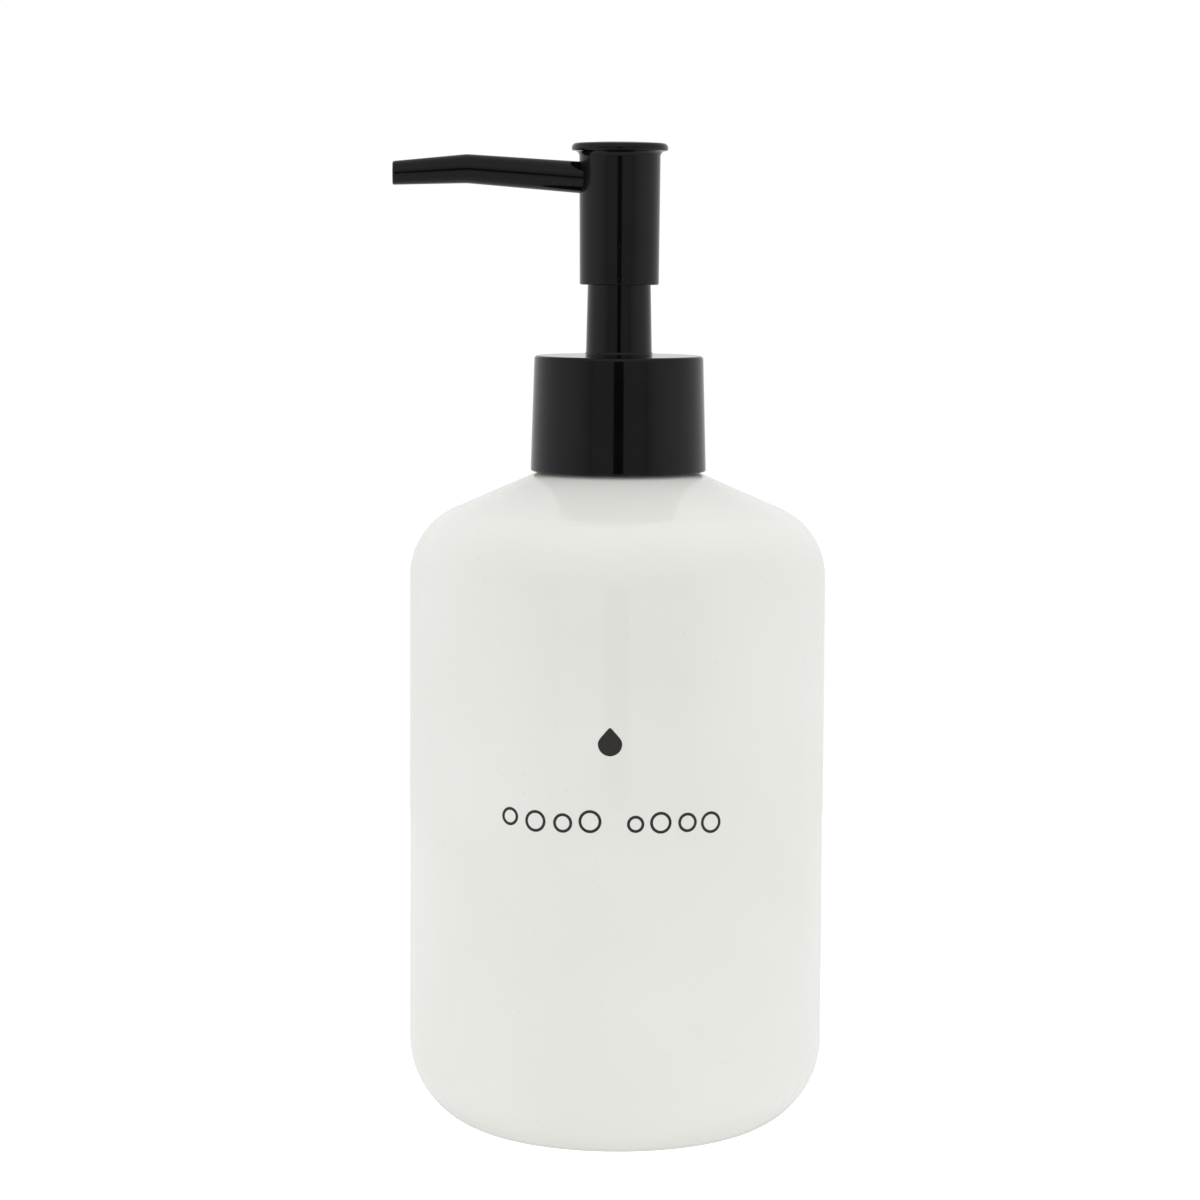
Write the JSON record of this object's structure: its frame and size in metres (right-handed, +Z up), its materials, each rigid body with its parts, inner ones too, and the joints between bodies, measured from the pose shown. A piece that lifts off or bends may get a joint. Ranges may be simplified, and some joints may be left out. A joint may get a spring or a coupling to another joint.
{
  "type": "soap pump dispenser",
  "caption": "Round ceramic bottle with a sloping shoulder and a screw-on black lotion pump with a long bent nozzle.",
  "frame": {"origin": "on the bottle's axis, at the plane the foot ring stands on", "axes": "+Z up along the bottle's and pump's common axis; the nozzle points along -X at rest, and the printed side faces -Y"},
  "size_m": [0.0782, 0.075, 0.1786],
  "materials": {
    "glazed_ceramic": "gloss",
    "black_gloss_plastic": "gloss",
    "natural_plastic": "satin",
    "soft_seal": "matte",
    "tube_plastic": "satin",
    "steel": "satin"
  },
  "bodies": {
    "bottle_body": {"bottle": "glazed_ceramic", "neck_ring": "natural_plastic"},
    "pump_body": {"housing": "natural_plastic", "collar": "black_gloss_plastic", "gasket": "soft_seal", "dip_tube": "tube_plastic", "ball_cage": "natural_plastic", "stem_seal": "soft_seal"},
    "closure_body": {"closure": "black_gloss_plastic"},
    "spring_body": {"spring": "steel"},
    "plunger": {"stem": "natural_plastic", "piston_seat": "natural_plastic", "head": "black_gloss_plastic"},
    "piston_body": {"piston": "soft_seal"},
    "outlet_valve": {"outlet_ball": "steel"},
    "inlet_valve": {"inlet_ball": "steel"}
  },
  "joints": [
    {"name": "pump_rise", "type": "slide", "parent": "bottle_body", "child": "pump_body", "axis": [0, 0, 1], "range_m": [0, 0.00423]},
    {"name": "closure_turn", "type": "hinge", "parent": "pump_body", "child": "closure_body", "pos_m": [0, 0, 0.13], "axis": [0, 0, 1], "range_deg": [0, 360]},
    {"name": "head_turn", "type": "hinge", "parent": "pump_body", "child": "spring_body", "pos_m": [0, 0, 0.15], "axis": [0, 0, 1], "continuous": true},
    {"name": "head_press", "type": "slide", "parent": "spring_body", "child": "plunger", "axis": [0, 0, -1], "range_m": [0, 0.012], "stiffness_N_per_m": 700, "springref_m": -0.008, "deforming": ["spring"]},
    {"name": "piston_slip", "type": "slide", "parent": "plunger", "child": "piston_body", "axis": [0, 0, 1], "range_m": [0, 0.001]},
    {"name": "outlet_lift", "type": "slide", "parent": "plunger", "child": "outlet_valve", "axis": [0, 0, 1], "range_m": [0, 0.0011]},
    {"name": "inlet_lift", "type": "slide", "parent": "pump_body", "child": "inlet_valve", "axis": [0, 0, 1], "range_m": [0, 0.0014]}
  ],
  "couplings": [
    {"joint": "closure_turn", "follows": "pump_rise", "rad_per_m": 1485.4}
  ]
}
